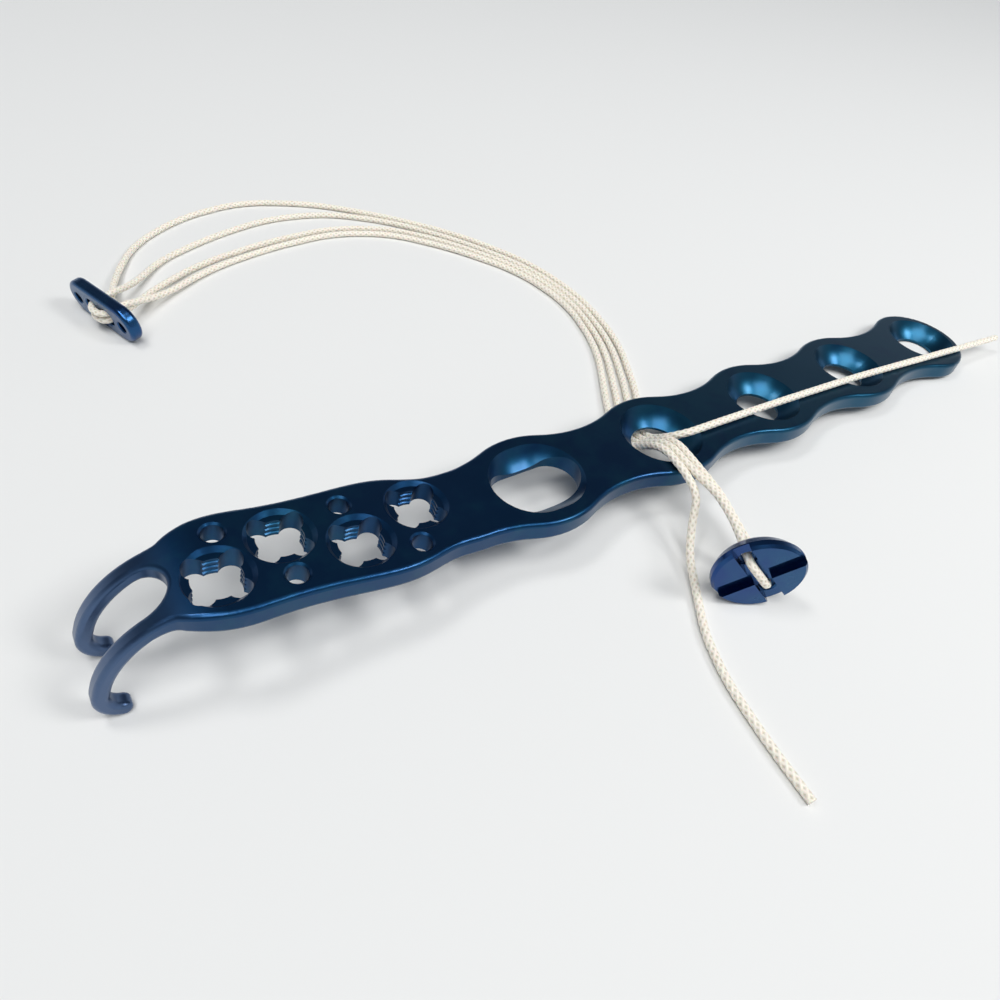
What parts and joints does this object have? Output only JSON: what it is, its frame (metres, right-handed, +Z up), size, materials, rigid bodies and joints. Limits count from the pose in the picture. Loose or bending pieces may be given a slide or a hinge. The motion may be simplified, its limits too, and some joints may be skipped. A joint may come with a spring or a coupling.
{
  "type": "bone plate with suture button",
  "caption": "Hooked, scalloped bone plate with dished and lobed locking holes, and a looped suture that joins a round and an oblong button through one of its holes.",
  "frame": {"origin": "on the table, under the middle of the box round the plate and both buttons, without the suture", "axes": "+X along the shaft toward its rounded end, +Z up from the table that the plate's hook tips, its far end and both buttons rest on"},
  "size_m": [0.0899, 0.0818, 0.0079],
  "materials": {
    "anodised_plate": "satin anodised titanium, dark blue",
    "anodised_button": "satin anodised titanium, mid blue",
    "suture": "matt braided suture, cream white"
  },
  "bodies": {
    "root": {"hook_plate": "anodised_plate", "round_button": "anodised_button", "oblong_button": "anodised_button", "suture": "suture"}
  },
  "joints": []
}
